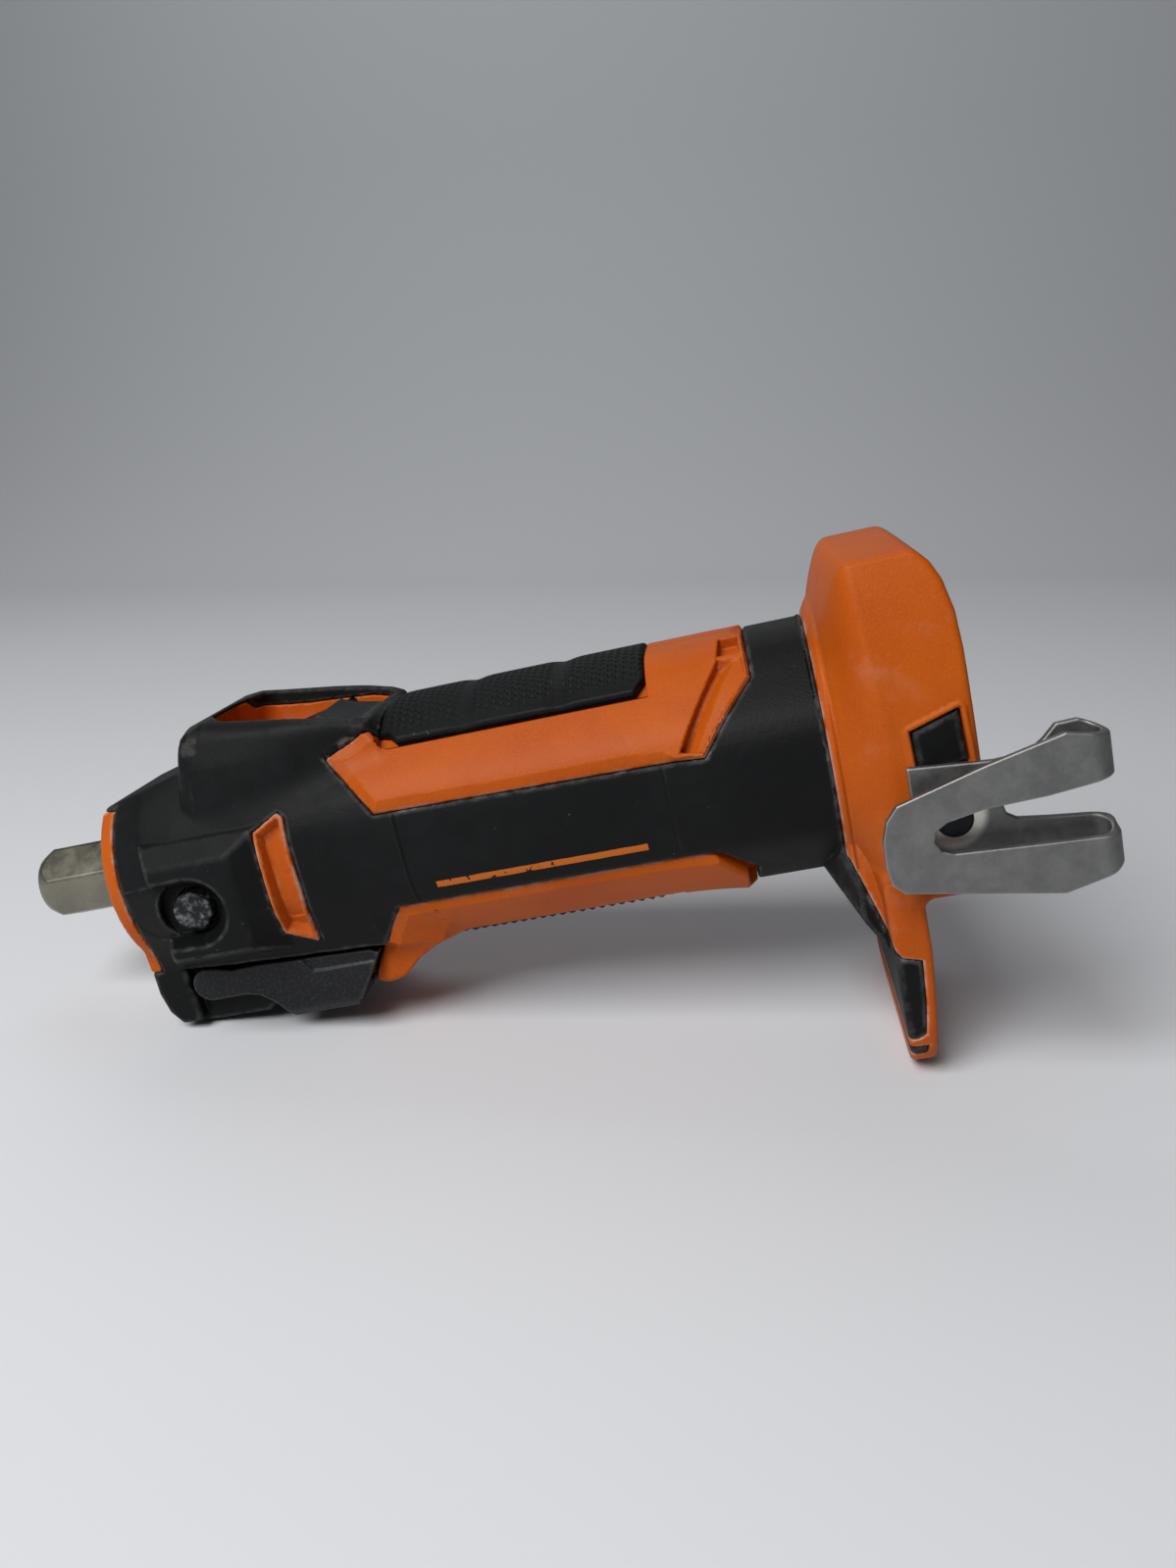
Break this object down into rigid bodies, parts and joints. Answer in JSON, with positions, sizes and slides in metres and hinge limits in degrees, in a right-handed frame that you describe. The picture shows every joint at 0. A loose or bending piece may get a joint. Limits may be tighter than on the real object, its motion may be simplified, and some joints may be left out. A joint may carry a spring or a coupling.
{
  "type": "drywall cut-out tool",
  "caption": "Cordless drywall cut-out tool: straight rubber-clad barrel with a hex collet nose, guarded rocker switch, spindle lock, depth guide clamp and slide-on battery foot with belt hook.",
  "frame": {"origin": "centre of the collet bore at the collet mouth", "axes": "+X along the spindle from the collet to the battery foot, +Z towards the rocker switch, -Y towards the spindle lock button and the belt hook"},
  "size_m": [0.267, 0.0837, 0.1225],
  "materials": {
    "orange_nylon": "satin",
    "black_rubber": "matte",
    "black_plastic": "satin",
    "nickel_steel": "satin",
    "tumbled_steel": "satin",
    "bright_steel": "satin",
    "black_screw_steel": "satin",
    "zinc_can": "satin",
    "ferrite": "matte",
    "core_steel": "satin",
    "copper": "satin",
    "brass": "satin",
    "carbon": "matte",
    "pale_plastic": "satin",
    "board_green": "satin",
    "sink_aluminium": "satin"
  },
  "bodies": {
    "tool": {"housing_left": "orange_nylon", "housing_right": "orange_nylon", "overmould_left": "black_rubber", "overmould_right": "black_rubber", "top_grip": "black_rubber", "bottom_grip": "black_rubber", "side_bumper_left": "black_rubber", "side_bumper_right": "black_rubber", "rocker_pin": "bright_steel", "switch_body": "black_plastic", "lock_spring": "bright_steel", "front_bearing_outer": "bright_steel", "rear_bearing_outer": "bright_steel", "motor_can": "zinc_can", "magnets": "ferrite", "brush_holder": "black_plastic", "brushes": "carbon", "circuit_board": "board_green", "heat_sink": "sink_aluminium", "terminal_block": "black_plastic", "contact_blades": "brass", "belt_hook": "tumbled_steel", "hook_screw": "black_screw_steel", "hook_inserts": "brass", "housing_screws": "black_screw_steel"},
    "rocker": {"switch_rocker": "black_plastic"},
    "rod": {"switch_rod": "pale_plastic"},
    "lock": {"lock_button": "black_plastic", "lock_pin": "bright_steel"},
    "lever": {"guide_lever": "black_plastic", "cam_pin": "bright_steel"},
    "pad": {"clamp_pad": "bright_steel"},
    "rotor": {"spindle": "bright_steel", "front_bearing_inner": "bright_steel", "front_bearing_balls": "bright_steel", "rear_bearing_inner": "bright_steel", "rear_bearing_balls": "bright_steel", "armature": "core_steel", "windings": "copper", "commutator": "copper", "cooling_fan": "black_plastic"},
    "chuck": {"collet": "bright_steel"},
    "nut": {"collet_nut": "nickel_steel"}
  },
  "joints": [
    {"name": "spindle_spin", "type": "hinge", "parent": "tool", "child": "rotor", "pos_m": [0.06, 0, 0], "axis": [1, 0, 0], "continuous": true},
    {"name": "collet_advance", "type": "slide", "parent": "rotor", "child": "chuck", "axis": [-1, 0, 0], "range_m": [0, 0.0025]},
    {"name": "nut_turn", "type": "hinge", "parent": "chuck", "child": "nut", "pos_m": [0.017, 0, 0], "axis": [-1, 0, 0], "range_deg": [0, 725]},
    {"name": "rocker_tilt", "type": "hinge", "parent": "tool", "child": "rocker", "pos_m": [0.091, 0, 0.03], "axis": [0, 1, 0], "range_deg": [0, 10]},
    {"name": "rod_slide", "type": "slide", "parent": "tool", "child": "rod", "axis": [1, 0, 0], "range_m": [-0.0009, 0]},
    {"name": "lock_press", "type": "slide", "parent": "tool", "child": "lock", "axis": [0, 1, 0], "range_m": [0, 0.003], "stiffness_N_per_m": 400, "deforming": ["lock_spring"]},
    {"name": "lever_swing", "type": "hinge", "parent": "tool", "child": "lever", "pos_m": [0.0467, 0, -0.0284], "axis": [0, 1, 0], "range_deg": [0, 85]},
    {"name": "pad_lift", "type": "slide", "parent": "tool", "child": "pad", "axis": [0, 0, 1], "range_m": [0, 0.0005]}
  ],
  "couplings": [
    {"joint": "nut_turn", "follows": "collet_advance", "rad_per_m": 5026.6},
    {"joint": "rod_slide", "follows": "rocker_tilt", "m_per_rad": -0.0048},
    {"joint": "pad_lift", "follows": "lever_swing", "m_per_rad": 0.00031831}
  ]
}
